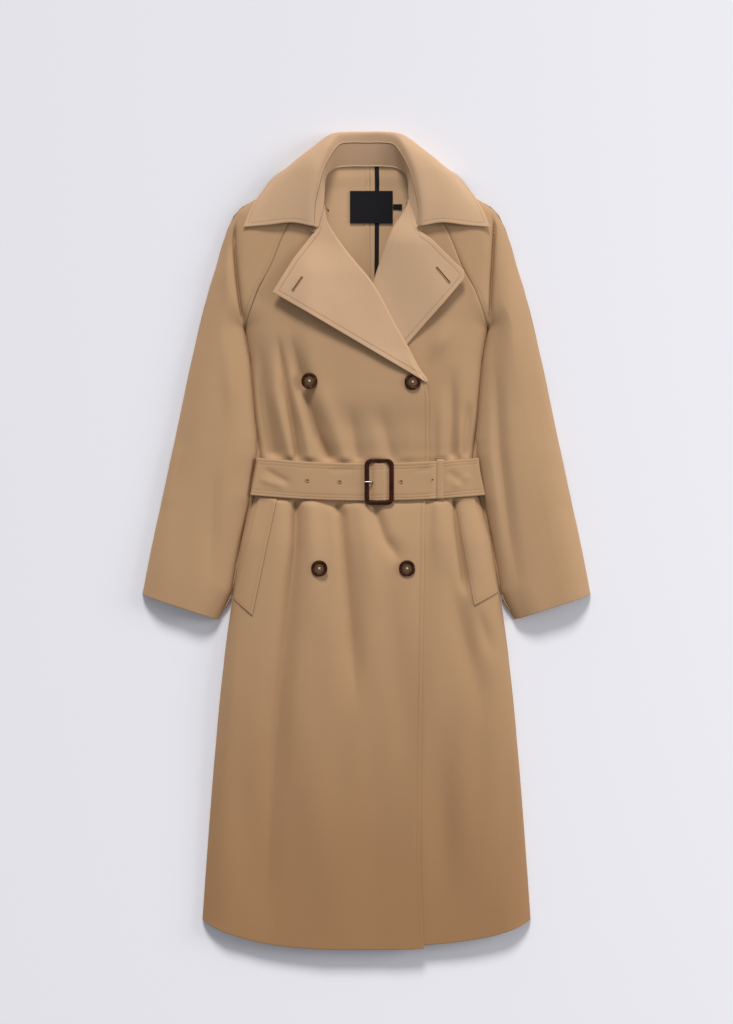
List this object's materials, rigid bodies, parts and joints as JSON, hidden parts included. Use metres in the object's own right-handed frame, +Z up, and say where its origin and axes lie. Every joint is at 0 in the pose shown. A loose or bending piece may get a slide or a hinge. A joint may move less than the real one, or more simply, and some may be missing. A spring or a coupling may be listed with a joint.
{
  "type": "trench coat",
  "caption": "Belted double-breasted trench coat with raglan sleeves and a wide collar, buttoned and laid flat on its back, open at neck, hem and cuffs.",
  "frame": {"origin": "middle of the coat's bounding box, on the surface it lies on", "axes": "+Z up from the surface, +Y towards the collar, +X towards the wearer's left"},
  "size_m": [0.676, 1.2281, 0.0397],
  "materials": {
    "cloth": "fine twill, matt",
    "facing": "fine twill, matt",
    "cloth_inside": "fine twill, matt, wrong side inside",
    "thread": "twisted thread",
    "binding": "woven tape",
    "label": "woven satin, blank",
    "buckle": "covered and glazed",
    "button": "mottled horn, polished",
    "steel": "polished wire"
  },
  "bodies": {
    "root": {"back_right": "cloth_inside", "back_left": "cloth_inside", "seam_binding": "binding", "front_right": "cloth", "front_left": "cloth", "sleeve_front_right": "cloth", "sleeve_back_right": "cloth", "sleeve_front_left": "cloth", "sleeve_back_left": "cloth", "lapel_right": "facing", "lapel_left": "facing", "collar_stand": "facing", "collar_leaf": "facing", "pocket_welt_right": "cloth", "pocket_welt_left": "cloth", "belt": "cloth", "belt_eyelet_1": "thread", "belt_eyelet_2": "thread", "belt_eyelet_4": "thread", "belt_eyelet_5": "thread", "belt_loop": "cloth", "buckle_frame": "buckle", "buckle_prong": "steel", "button_upper_right": "button", "button_upper_left": "button", "button_lower_right": "button", "button_lower_left": "button", "neck_label": "label", "size_tab": "label", "collar_hook": "steel", "collar_eye": "steel"}
  },
  "joints": []
}
